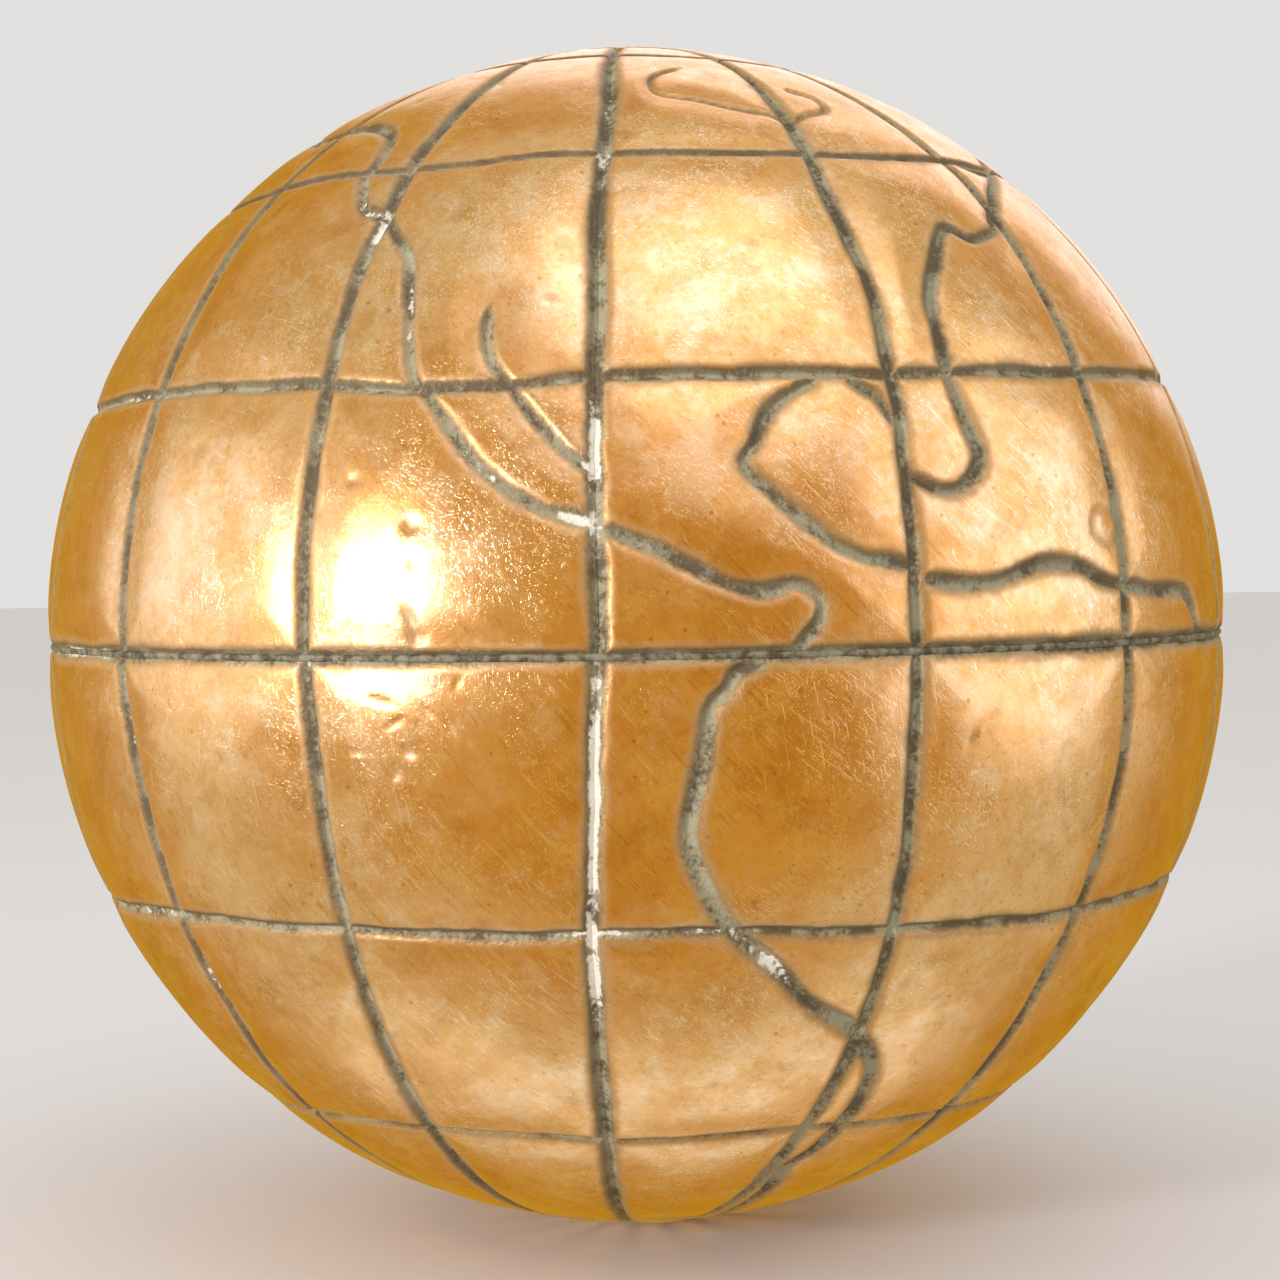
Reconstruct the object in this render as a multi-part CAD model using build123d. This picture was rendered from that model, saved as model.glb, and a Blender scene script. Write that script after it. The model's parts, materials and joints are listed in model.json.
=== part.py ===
from build123d import *
import os
from math import acos, cos, degrees, radians, sin, sqrt

# Hollow terrestrial globe ball, spun in two half shells and carried on an axis rod.
# Millimetres. The origin is the centre of the ball, and +Z runs up the polar axis to north.
# The prime face of the globe, with the Americas, looks along -Y. East is towards +X from there.

# Ball
BALL_DIAMETER = 90.0
SHELL_WALL = 1.5

# Chased lines. Depths differ so that a meridian bites a little below the parallels it crosses.
MERIDIAN_WIDTH = 1.3
MERIDIAN_DEPTH = 0.55
PARALLEL_WIDTH = 1.1
PARALLEL_DEPTH = 0.4

# Stepped off by hand with dividers, so neither set is quite even. Degrees east of the prime face.
MERIDIANS = (
    -168.5, -145.0, -121.5, -98.0, -74.5, -51.0, -28.2, -3.6,
    23.4, 47.4, 71.5, 95.5, 119.5, 143.5, 167.5,
)
# Degrees north. The equator's line is the seam between the two shells.
PARALLELS = (70.5, 46.9, 22.9, 0.0, -23.7, -47.9, -70.5)

# Degrees that a meridian's cut runs past the seam, so that it leaves the rim cleanly
END_OVERRUN = 4.0

# Lap strap inside the seam
STRAP_WIDTH = 9.0
STRAP_THICKNESS = 1.2

# Axis rod that the globe turns on, the tube it runs in, and the bush at each pole
ROD_DIAMETER = 5.0
TUBE_WALL = 1.0
TUBE_MOUTH_CHAMFER = 0.3
BUSH_WALL = 1.6
BUSH_SHOULDER_WIDTH = 2.2
BUSH_SHOULDER_THICKNESS = 1.8
VENT_DIAMETER = 1.6
VENT_HEIGHT = 12.0

# Fits
RUNNING_CLEARANCE = 0.05
SOLDER_GAP = 0.1

# The run of solder between the rims stands this far out of the floor of the equator's line
SOLDER_BEAD = 0.12

# Worked out from the sizes above
BALL_RADIUS = BALL_DIAMETER / 2
INSIDE_RADIUS = BALL_RADIUS - SHELL_WALL
SEAT_RADIUS = INSIDE_RADIUS - SOLDER_GAP
BORE_RADIUS = ROD_DIAMETER / 2 + RUNNING_CLEARANCE
TUBE_RADIUS = BORE_RADIUS + TUBE_WALL
BUSH_BORE_RADIUS = TUBE_RADIUS + SOLDER_GAP
BUSH_RADIUS = BUSH_BORE_RADIUS + BUSH_WALL
POLE_HOLE_RADIUS = BUSH_RADIUS + SOLDER_GAP
SHOULDER_RADIUS = BUSH_RADIUS + BUSH_SHOULDER_WIDTH


def height_on(radius, lateral):
    """Height above the centre of the point on a sphere that lies this far from the polar axis."""
    return sqrt(radius**2 - lateral**2)


def arc_on(radius, start, end):
    """Arc on a sphere, in the plane of the polar axis, between two distances from that axis."""
    middle = (start + end) / 2
    points = [(lateral, height_on(radius, lateral)) for lateral in (start, middle, end)]
    return ThreePointArc(*points)


def turned(*edges):
    """Solid of revolution about the polar axis, from the closed outline that the edges make."""
    return revolve(Plane.XZ * make_face(edges), Axis.Z)


def liner_radius(width, depth):
    """Radius of the round-nosed punch that leaves a line this wide and this deep."""
    return (width**2 / 4 + depth**2) / (2 * depth)


def parallel_cutters(side):
    """Punch sections of the parallels on one half, in the plane of the polar axis."""
    radius = liner_radius(PARALLEL_WIDTH, PARALLEL_DEPTH)
    track = BALL_RADIUS + radius - PARALLEL_DEPTH
    latitudes = [radians(side * latitude) for latitude in PARALLELS if side * latitude >= 0]
    return [Pos(track * cos(latitude), track * sin(latitude)) * Circle(radius) for latitude in latitudes]


def meridian_cutters():
    """One bent rod for each meridian, from below the seam up into the pole hole."""
    radius = liner_radius(MERIDIAN_WIDTH, MERIDIAN_DEPTH)
    track = BALL_RADIUS + radius - MERIDIAN_DEPTH
    end = degrees(acos(BUSH_BORE_RADIUS / BALL_RADIUS))
    rod = revolve(Pos(track, 0) * Circle(radius), Axis((0, 0, 0), (0, -1, 0)), END_OVERRUN + end)
    rod = Rot(0, END_OVERRUN, 0) * rod
    return [Rot(0, 0, longitude - 90) * rod for longitude in MERIDIANS]


def half_shell(side):
    """Spun half shell with its chased lines. side is 1 for the north and -1 for the south."""
    rim = SOLDER_GAP / 2
    outer_rim = height_on(BALL_RADIUS, rim)
    inner_rim = height_on(INSIDE_RADIUS, rim)
    inner_lip = height_on(INSIDE_RADIUS, POLE_HOLE_RADIUS)
    outer_lip = height_on(BALL_RADIUS, POLE_HOLE_RADIUS)
    section = make_face([
        arc_on(BALL_RADIUS, POLE_HOLE_RADIUS, outer_rim),
        Line((outer_rim, rim), (inner_rim, rim)),
        arc_on(INSIDE_RADIUS, inner_rim, POLE_HOLE_RADIUS),
        Line((POLE_HOLE_RADIUS, inner_lip), (POLE_HOLE_RADIUS, outer_lip)),
    ])
    blank = revolve(Plane.XZ * (section - parallel_cutters(side)), Axis.Z)
    shell = blank - meridian_cutters()
    return shell if side > 0 else mirror(shell, Plane.XY)


def seam_solder():
    """Thin washer of solder between the rims, from the strap out into the floor of the equator's line."""
    outer = BALL_RADIUS - PARALLEL_DEPTH + SOLDER_BEAD
    return Cylinder(outer, SOLDER_GAP) - Cylinder(INSIDE_RADIUS, SOLDER_GAP)


def joint_ring():
    """Strap that laps the seam inside, its face turned to the inside of the shells."""
    half = STRAP_WIDTH / 2
    face_edge = height_on(SEAT_RADIUS, half)
    inner = SEAT_RADIUS - STRAP_THICKNESS
    return turned(
        ThreePointArc((face_edge, -half), (SEAT_RADIUS, 0), (face_edge, half)),
        Polyline((face_edge, half), (inner, half), (inner, -half), (face_edge, -half)),
    )


def axle_tube():
    """Tube from pole to pole, its ends dressed to the ball, with one vent into the hollow."""
    mouth = BORE_RADIUS + TUBE_MOUTH_CHAMFER
    lip = height_on(BALL_RADIUS, mouth)
    chamfer_foot = lip - TUBE_MOUTH_CHAMFER
    wall_top = height_on(BALL_RADIUS, TUBE_RADIUS)
    north_end = arc_on(BALL_RADIUS, mouth, TUBE_RADIUS)
    tube = turned(
        north_end,
        Line((TUBE_RADIUS, wall_top), (TUBE_RADIUS, -wall_top)),
        mirror(north_end, Plane.XZ),
        Polyline((mouth, -lip), (BORE_RADIUS, -chamfer_foot), (BORE_RADIUS, chamfer_foot), (mouth, lip)),
    )
    from_the_axis = (Align.CENTER, Align.CENTER, Align.MIN)
    drill = Cylinder(VENT_DIAMETER / 2, BUSH_RADIUS, align=from_the_axis)
    return tube - Pos(0, 0, VENT_HEIGHT) * Rot(0, 90, 0) * drill


def pole_bush():
    """North bush: a barrel through the shell, dressed flush, on a shoulder that seats inside."""
    seat_edge = height_on(SEAT_RADIUS, SHOULDER_RADIUS)
    foot = seat_edge - BUSH_SHOULDER_THICKNESS
    barrel_top = height_on(BALL_RADIUS, BUSH_RADIUS)
    barrel_foot = height_on(SEAT_RADIUS, BUSH_RADIUS)
    return turned(
        arc_on(BALL_RADIUS, BUSH_BORE_RADIUS, BUSH_RADIUS),
        Line((BUSH_RADIUS, barrel_top), (BUSH_RADIUS, barrel_foot)),
        arc_on(SEAT_RADIUS, BUSH_RADIUS, SHOULDER_RADIUS),
        Polyline(
            (SHOULDER_RADIUS, seat_edge),
            (SHOULDER_RADIUS, foot),
            (BUSH_BORE_RADIUS, foot),
            (BUSH_BORE_RADIUS, height_on(BALL_RADIUS, BUSH_BORE_RADIUS)),
        ),
    )


def write(name, piece):
    """Writes one piece to its own file."""
    export_step(piece, f"parts/{name}.step")


os.makedirs("parts", exist_ok=True)
write("north_shell", half_shell(1))
write("south_shell", half_shell(-1))
write("seam_solder", seam_solder())
write("joint_ring", joint_ring())
write("axle_tube", axle_tube())
write("north_pole_bush", pole_bush())
write("south_pole_bush", mirror(pole_bush(), Plane.XY))
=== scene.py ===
"""Worn copper globe ball: two half shells with hand-chased map lines, on a brass axle tube.

Lengths are metres unless a name ends in _mm. Latitudes and longitudes are degrees, with
longitude 0 at the front of the ball (-Y) and east towards +X.
"""
import json
import logging
import math
from dataclasses import dataclass, field
from enum import Enum

import bpy
import numpy as np
from mathutils import Matrix, Vector


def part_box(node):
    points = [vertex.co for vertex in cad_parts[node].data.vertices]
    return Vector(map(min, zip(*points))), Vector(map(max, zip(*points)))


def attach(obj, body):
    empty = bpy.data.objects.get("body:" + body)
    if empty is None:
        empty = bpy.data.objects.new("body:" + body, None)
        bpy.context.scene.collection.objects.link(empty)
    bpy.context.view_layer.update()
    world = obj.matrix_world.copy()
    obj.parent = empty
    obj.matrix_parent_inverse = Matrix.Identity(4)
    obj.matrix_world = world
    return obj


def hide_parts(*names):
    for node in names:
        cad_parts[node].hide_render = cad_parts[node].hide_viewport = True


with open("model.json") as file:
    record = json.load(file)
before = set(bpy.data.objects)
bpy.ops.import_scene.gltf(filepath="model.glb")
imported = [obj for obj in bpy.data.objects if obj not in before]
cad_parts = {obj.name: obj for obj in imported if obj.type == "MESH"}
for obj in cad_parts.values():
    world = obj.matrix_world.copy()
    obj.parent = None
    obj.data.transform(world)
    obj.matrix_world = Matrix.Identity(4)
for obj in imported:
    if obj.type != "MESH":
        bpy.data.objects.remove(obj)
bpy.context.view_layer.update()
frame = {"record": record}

MM = 0.001
BODY = "root"
LOG = logging.getLogger("globe")

Route = tuple[tuple[float, float], ...]
Spot = tuple[float, float, float, float, float]
Tremor = tuple[float, float, int]
Colour = tuple[float, float, float]
Socket = bpy.types.NodeSocket
Feed = Socket | float | tuple[float, ...]
Grid = np.ndarray


# ---------------------------------------------------------------- the map


class Half(Enum):
    """Which half of the ball a shell is, by the sign of its latitudes."""

    NORTH = 1
    SOUTH = -1


class Ends(Enum):
    """Whether a chased line ends or joins up with its own start."""

    OPEN = 0
    CLOSED = 1


@dataclass(frozen=True)
class Coast:
    """One coastline: its route as (latitude, longitude) points, and the mark of the punch.

    clean_mm is how much narrower its dirt is than its mark, on each side."""

    route: Route
    ends: Ends = Ends.OPEN
    width_mm: float = 1.3
    depth_mm: float = 0.42
    clean_mm: float = 0.0


# Each meridian's nominal longitude, with its route as (latitude, longitude) where the chaser's
# hand strayed from it. The rest are stepped off evenly and wander by a seeded draw.
MERIDIANS: dict[float, Route] = {
    -74.5: ((-60, -73.5), (-24, -72.5), (0, -72), (24, -72.5), (60, -73.5)),
    -51.0: (
        (-80, -53.5), (-48, -52.2), (-41, -51.3), (-33, -49.9), (-24, -50.3), (-12, -50.1),
        (-1, -51.2), (1, -50.9), (10, -51.3), (24, -51.8), (34, -52.3), (41, -53.2), (60, -54),
    ),
    -28.2: (
        (-80, -31), (-60, -29.9), (-52, -28.7), (-40, -28.0), (-24, -27.5), (-8, -27.5),
        (-0.7, -27.8), (0.6, -28.1), (12, -28.4), (22, -28.4), (35, -28.9), (42, -28.6),
        (49, -29.1), (53.5, -28.6), (60, -29), (80, -29.5),
    ),
    -3.6: (
        (-80, -5.4), (-56, -4.9), (-45, -4.4), (-34, -4.3), (-23, -4.1), (-15, -3.7), (-5, -3.2),
        (1.5, -2.9), (10, -3.0), (16, -3.2), (30, -3.1), (40, -3.5), (47, -3.1), (56, -3.1),
        (73, -4.6), (80, -5),
    ),
    23.4: (
        (-80, 16), (-55, 20.0), (-50, 20.8), (-46, 21.7), (-39, 22.7), (-30, 23.4), (-17, 23.5),
        (-1, 23.2), (13, 23.4), (23, 23.6), (29, 24.0), (33.5, 23.8), (36, 23.4), (43, 23.3),
        (50, 23.7), (62, 24.8), (80, 26),
    ),
    47.4: (
        (-80, 44), (-60, 45.4), (-42, 46.0), (-32, 46.1), (-24, 46.7), (-18, 47.3), (-9, 47.7),
        (-2, 47.5), (0.5, 47.2), (4, 47.2), (10, 47.6), (20, 47.4), (30, 48.1), (38, 48.7),
        (44.6, 49.5), (48, 48.3), (60, 47),
    ),
    71.5: (), 95.5: (), 119.5: (), 143.5: (), 167.5: (), 191.5: (), 215.0: (), 238.5: (), 262.0: (),
}

# Each parallel's nominal latitude, with its route as (longitude, latitude). The equator's
# line is the seam, which is flat.
PARALLELS: dict[float, Route] = {
    70.5: ((-60, 70.1), (0, 70.8), (50, 70.2)),
    46.9: (
        (-75, 45.8), (-56, 46.1), (-46, 46.8), (-36, 46.8), (-30, 46.5), (-20, 46.7), (-10, 47.4),
        (0, 47.5), (22, 47.6), (35, 48.1), (44, 48.9), (52, 49.3), (75, 49.4),
    ),
    22.9: (
        (-75, 22.9), (-60, 23.2), (-40, 23.3), (-30, 23.0), (-20, 22.2), (-12, 22.3), (-4.5, 22.8),
        (-2, 22.9), (8, 23.0), (15, 23.3), (23, 23.1), (36, 23.7), (49, 24.0), (77, 24.9),
    ),
    0.0: (),
    -23.7: (
        (-71, -24.8), (-58, -24.0), (-44, -23.5), (-34, -23.6), (-25, -23.4), (-13, -23.5),
        (0, -23.2), (10, -23.2), (20, -23.7), (30, -23.9), (40, -24.2), (50, -24.0), (68, -23.8),
    ),
    -47.9: (
        (-60, -48.8), (-51, -48.3), (-43, -47.7), (-35, -47.3), (-22, -47.2), (-12, -47.5),
        (-1, -47.9), (5, -47.8), (15, -47.2), (26, -47.0), (34, -47.7), (60, -48.5),
    ),
    -70.5: ((-60, -70.9), (0, -70.2), (50, -70.7)),
}

FRONT_COASTS: dict[str, Coast] = {
    "northwest_cape": Coast((
        (57, -72), (55.5, -65), (54.5, -59.7), (55.5, -55.5), (55.4, -48.8), (55, -44.1),
        (53, -38.5), (50.4, -36.1), (48.1, -35.5), (46.3, -35.8), (44.7, -34.7), (42.7, -33.2),
        (41.4, -31.8), (41.3, -30.8), (40.2, -28.9),
    ), width_mm=1.2),
    "west_coast": Coast((
        (41.5, -29), (40.1, -28.2), (37.6, -25.7), (34.7, -23.3), (30.4, -21.7), (26.5, -20.8),
        (23.3, -19.7), (21, -17.6), (17.9, -15), (15.4, -12.7), (13.3, -10), (12, -8),
        (11.2, -5.9), (10.8, -3.5),
    ), width_mm=1.15),
    "long_peninsula": Coast((
        (29.6, -13.3), (26.3, -13.1), (23.9, -12.1), (22.6, -11), (20.8, -9.6), (18.6, -7.8),
        (16.5, -5.6), (14.8, -3.1),
    ), width_mm=1.05),
    "isthmus": Coast((
        (10.3, -3), (10, -1.9), (8.7, 1.2), (7.1, 4.3), (5.9, 6.7), (5.1, 9.8), (5.6, 12.7),
        (5, 14.3), (3.8, 15.1), (2.3, 14.6), (0.7, 13),
    ), width_mm=1.2),
    "south_west_coast": Coast((
        (-0.2, 10.5), (-1.2, 8.1), (-2.7, 7.2), (-4.2, 5.9), (-8.2, 5.4), (-9.8, 5),
        (-13, 4.2), (-15.5, 4.2), (-19, 5.5), (-22.7, 7.9), (-25.7, 11.2), (-28.3, 13.9),
        (-31.3, 17.5), (-33.6, 21.3), (-37.4, 25.1), (-40.1, 26.6), (-43.6, 27.1),
        (-46.6, 26.5), (-50.6, 25.3), (-54.2, 22.8), (-62.2, 23.4),
    ), width_mm=1.45),
    "gulf_west_shore": Coast((
        (22.7, 16.5), (21.8, 14.6), (19.7, 11.6), (17.1, 10.1), (15.1, 9.1), (13, 11.1),
        (11, 13.4), (9, 15.8), (7.7, 18.3), (6.9, 22.8),
    ), width_mm=1.1),
    "gulf_head": Coast(((22.9, 19), (21.9, 20.6), (21, 21.8), (18.9, 22.9)), width_mm=1.0),
    "north_coast": Coast((
        (5.7, 24), (5.2, 28.1), (5.5, 31.2), (6.3, 34.5), (6.9, 38), (6.6, 41.1), (5.5, 43.7),
        (4.9, 47.3), (4.4, 52.4), (4.2, 58.5), (2.6, 61), (0.3, 62.8), (-0.2, 67), (-0.3, 77),
        (-4, 82), (-14, 84), (-24, 81), (-34, 79), (-44, 78), (-52, 76), (-60, 72), (-68, 61),
        (-74, 44), (-75, 30), (-70, 24), (-62.2, 23.4),
    ), width_mm=1.2),
    "east_coast": Coast((
        (39, 46.3), (37.8, 40.9), (38.9, 37.9), (37.2, 35.4), (34.4, 33.1), (31.6, 30.9),
        (29.5, 30.2), (27.1, 30.1), (24.8, 29.9), (22.5, 29.8), (19.6, 30.3), (17.1, 31),
        (15.7, 31.1), (14, 29.8), (13.1, 27.9), (13.3, 26), (14.2, 24),
    ), width_mm=1.2),
    "northern_shore": Coast((
        (39, 46.3), (40.6, 47.3), (43.6, 52), (48.1, 61.2), (53, 71), (60, 70), (66, 64),
        (73, 55), (77, 38), (79.5, 18), (80.5, -6), (78.5, -30), (74, -50), (68, -62),
        (61, -70), (57, -72),
    ), width_mm=1.1),
    "northern_cove": Coast(((49.4, 51), (48.4, 56), (48.1, 61.2)), width_mm=1.0),
    "arctic_island": Coast((
        (65, 11.3), (63.2, 6.3), (61.8, 4.2), (59.6, 3.7), (58, 4.9), (57.1, 8.8), (56, 13.7),
        (55, 18.6), (54.4, 21.8), (52.7, 23.9), (54.3, 27.9), (55.8, 33), (58.3, 33.4),
        (59.8, 30.1),
    ), width_mm=0.7, depth_mm=0.22, clean_mm=0.16),
}

# The far side, in the same rough hand. A closed coast joins up with its own start.
FAR_COASTS: dict[str, Coast] = {
    "africa": Coast((
        (36, 95), (30, 90), (22, 84), (15, 83), (7, 87), (5, 93), (6, 104), (2, 110), (-10, 113),
        (-18, 112), (-28, 116), (-34, 119), (-33, 126), (-26, 133), (-18, 137), (-8, 139),
        (-1, 142), (11, 151), (11, 144), (18, 138), (29, 133), (31, 124), (32, 120), (33, 112),
        (37, 110), (36, 100),
    ), Ends.CLOSED),
    "europe_and_asia": Coast((
        (36, 95), (38, 91), (43, 92), (44, 98), (48, 96), (53, 104), (58, 108), (62, 105),
        (70, 120), (68, 140), (72, 165), (76, 200), (72, 232), (70, 262), (65, 278), (60, 265),
        (52, 258), (58, 250), (59, 240), (50, 237), (43, 232), (37, 228), (39, 219), (30, 222),
        (22, 213), (20, 208), (10, 208), (9, 203), (1, 204), (8, 199), (16, 196), (22, 190),
        (16, 181), (8, 177), (15, 173), (22, 170), (25, 162), (20, 159), (13, 146), (20, 140),
        (28, 135), (35, 137), (37, 128), (37, 123), (45, 113), (40, 117), (44, 109), (41, 102),
    ), Ends.CLOSED, width_mm=1.2),
    "australia": Coast((
        (-12, 231), (-14, 238), (-17, 240), (-11, 242), (-20, 248), (-28, 253), (-37, 250),
        (-38, 244), (-34, 237), (-32, 229), (-35, 217), (-31, 215), (-22, 213), (-16, 223),
    ), Ends.CLOSED),
    "new_guinea": Coast((
        (-1, 232), (-3, 240), (-9, 249), (-8, 241), (-5, 234),
    ), Ends.CLOSED, 1.0, 0.35),
    "borneo": Coast(((6, 217), (1, 218), (-3, 213), (1, 209)), Ends.CLOSED, 1.0, 0.35),
    "sumatra": Coast(((5, 195), (0, 199), (-6, 205), (-2, 204)), Ends.CLOSED, 0.9, 0.35),
    "madagascar": Coast((
        (-12, 149), (-18, 150), (-25, 147), (-22, 144), (-16, 145),
    ), Ends.CLOSED, 1.0, 0.35),
    "britain": Coast(((50, 95), (51, 101), (55, 99), (58.5, 96), (55, 94)), Ends.CLOSED, 0.9, 0.3),
    "japan": Coast((
        (32, 230), (35, 240), (42, 243), (44, 242), (37, 237), (34, 231),
    ), Ends.CLOSED, 0.9, 0.3),
    "new_zealand": Coast(((-35, 273), (-41, 277), (-46, 268), (-41, 271)), Ends.CLOSED, 0.9, 0.3),
    "ceylon": Coast(((9, 180), (7, 182), (6, 180.5)), Ends.CLOSED, 0.8, 0.25),
}


@dataclass(frozen=True)
class Dent:
    """A knock in the metal: its place, how far it reaches each way, its turn, and its depth.

    A ring has its deepest part on a circle round the middle, as a pipe's end leaves."""

    latitude: float
    longitude: float
    long_mm: float
    wide_mm: float
    turn: float
    depth_mm: float
    ring: bool = False


DENTS: tuple[Dent, ...] = (
    Dent(10.0, 45.3, 1.9, 1.4, 0, 0.085, ring=True),
    Dent(3.2, -18.2, 0.9, 0.35, 65, 0.10),
    Dent(1.6, -17.7, 0.55, 0.45, 80, 0.12),
    Dent(-3.4, -20.9, 0.9, 0.18, 15, 0.06),
    Dent(-4.2, -16.9, 0.8, 0.16, 40, 0.06),
    Dent(-5.2, -19.7, 0.6, 0.16, 150, 0.05),
    Dent(-7.6, -23.2, 0.7, 0.14, 5, 0.05),
    Dent(-7.5, -18.6, 0.5, 0.32, 20, 0.08),
    Dent(-9.3, -19.9, 0.42, 0.36, 100, 0.09),
    Dent(-12.3, -20.0, 1.0, 0.7, 60, 0.03),
    Dent(-14.0, -22.5, 1.2, 0.5, 150, 0.03),
    Dent(-2.0, -14.3, 0.4, 0.12, 120, 0.05),
    Dent(-5.6, -14.9, 0.6, 0.12, 60, 0.05),
    Dent(10.6, -18.4, 0.45, 0.4, 0, 0.09),
    Dent(7.4, -18.0, 0.3, 0.3, 0, 0.05),
    Dent(30.2, -7.8, 0.5, 0.2, 20, 0.06),
    Dent(40.0, -19.4, 0.6, 0.5, 100, 0.06),
    Dent(-7.2, 28.6, 0.6, 0.2, 115, 0.07),
    Dent(14.5, -24.0, 0.35, 0.3, 0, 0.05),
    Dent(-16.5, -22.0, 0.7, 0.5, 30, 0.04),
    Dent(-39.0, 8.0, 0.6, 0.4, 140, 0.04),
)

SMALL_DENTS = 90
DENT_WINDOW = math.cos(math.radians(5.73))
PRIME = -3.6

# Where dried polish is left in the lines, as (latitude, longitude, reach north, reach east, share)
WHITING: tuple[Spot, ...] = (
    (-12, -3.6, 11, 1.6, 1.0), (-28, -4.2, 4, 1.6, 0.9), (17, -3.2, 4.5, 1.6, 0.85),
    (10.8, -4.5, 1.5, 2.5, 0.9), (47, -4, 2.0, 3.0, 0.7), (56, -3, 3.0, 1.5, 0.45),
    (39, -29, 2.5, 1.6, 0.8), (42, -32, 3.0, 3.0, 0.5), (30, -21.5, 7, 2.0, 0.45),
    (7, -74.5, 4, 2, 1.0), (-8, -74, 4, 2, 0.9), (-0.3, -60, 1.5, 9, 0.7),
    (-0.3, -26, 1.5, 4, 0.55), (23, -57, 1.5, 4, 0.5), (-23.3, -4, 2.0, 3.5, 0.85),
    (-23.6, 7, 2.0, 4, 0.5), (-27, 12, 3.5, 3.0, 0.7), (-24, -55, 2.0, 8, 0.45),
    (-30, -51, 8, 2.0, 0.4), (14.5, -13, 3.0, 3.0, 0.5), (-5, -50.5, 8, 1.6, 0.35),
    (-7, 4, 6, 2.5, 0.3), (0, 56, 1.5, 8, 0.25),
)

# Where the metal is most scratched, given the same way
SCUFFS: tuple[Spot, ...] = (
    (15, 4, 5, 7, 1.0), (15, -11, 6, 6, 0.9), (-9, -21, 8, 8, 1.0), (12, -45, 8, 8, 0.8),
    (6, -16, 6, 5, 0.7), (33, 3, 9, 12, 0.5), (35, -20, 9, 9, 0.5), (14, 16, 5, 6, 0.8),
    (-8, 2, 6, 4, 0.4), (12, 40, 8, 9, 0.5), (-45, -15, 7, 12, 0.4), (-17, 22, 6, 3, 0.4),
)


# ---------------------------------------------------------------- numbers on the ball


def on_ball(latitude: Grid, longitude: Grid) -> Grid:
    """Unit vectors for places on the ball.

    The point is (cos lat sin lon, -cos lat cos lon, sin lat).

    Args:
        latitude: degrees north.
        longitude: degrees east of the front, of the same shape.
    Returns:
        The vectors, in one more axis of three.
    """
    lat, lon = np.radians(latitude), np.radians(longitude)
    return np.stack([np.cos(lat) * np.sin(lon), -np.cos(lat) * np.cos(lon), np.sin(lat)], axis=-1)


def ease(low: float, high: float, x: Grid) -> Grid:
    """Smooth step from 0 at low to 1 at high: t squared times (3 - 2t)."""
    t = np.clip((x - low) / (high - low), 0.0, 1.0)
    return t * t * (3.0 - 2.0 * t)


def swell(places: Grid, wavelength_mm: float, seed: int, waves: int = 14) -> Grid:
    """Smooth random swell over the ball, within about -1 to 1.

    It is the sum of plane waves in seeded directions, each the sine of place along its
    direction, with wavelengths within a third of the one asked for.

    Args:
        places: points in millimetres, in a last axis of three.
        wavelength_mm: the middle wavelength.
        seed: what the draw starts from.
        waves: how many waves are added.
    Returns:
        One value for each point.
    """
    draw = np.random.default_rng(seed)
    ways = draw.normal(size=(waves, 3))
    ways /= np.linalg.norm(ways, axis=1, keepdims=True)
    total = np.zeros(places.shape[:-1])
    for way in ways:
        pitch = wavelength_mm * draw.uniform(0.7, 1.35)
        total += np.sin(places @ (way * 2 * math.pi / pitch) + draw.uniform(0, 2 * math.pi))
    return total / math.sqrt(waves) / 1.4


def wander(along: Grid, pitch: float, seed: int) -> Grid:
    """Smooth random wander along a line: seeded values each pitch, joined by cubic easing."""
    at = along / pitch
    cell = np.floor(at).astype(int)
    values = np.random.default_rng(seed).uniform(-1, 1, 4096)
    t = at - cell
    t = t * t * (3 - 2 * t)
    return values[cell % 4096] * (1 - t) + values[(cell + 1) % 4096] * t


def unsteady(along: Grid, number: int, *parts: Tremor) -> Grid:
    """Sum of wanders along a line.

    Args:
        along: where on the line, as wander takes it.
        number: the line's own number, which is added to every seed.
        parts: each wander's (size, pitch, seed).
    Returns:
        The sum at each place.
    """
    return sum(size * wander(along, pitch, seed + number) for size, pitch, seed in parts)


def groove(away: Grid, half: Grid) -> Grid:
    """Depth across a chased line, from 1 to 0: the blunt bell e to the minus t to the 2.2.

    t is the distance from the line's middle over 0.72 of its half width."""
    return np.exp(-((away / half / 0.72) ** 2.2))


def bell(away: Grid, reach: float) -> Grid:
    """A bell, from 1 to 0: e to the minus square of the distance over the reach."""
    return np.exp(-((away / reach) ** 2))


def bells(spots: tuple[Spot, ...], lon: Grid, lat: Grid) -> Grid:
    """The highest of some round spots at each place, each fading as a bell.

    Args:
        spots: each spot's (latitude, longitude, reach north, reach east, share).
        lon: true longitudes.
        lat: true latitudes.
    Returns:
        The share at each place.
    """
    total = np.zeros(lon.shape)
    for middle_lat, middle_lon, tall, wide, share in spots:
        north, east = lat - middle_lat, (lon - middle_lon + 180) % 360 - 180
        total = np.maximum(total, share * np.exp(-((north / tall) ** 2) - (east / wide) ** 2))
    return total


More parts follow.
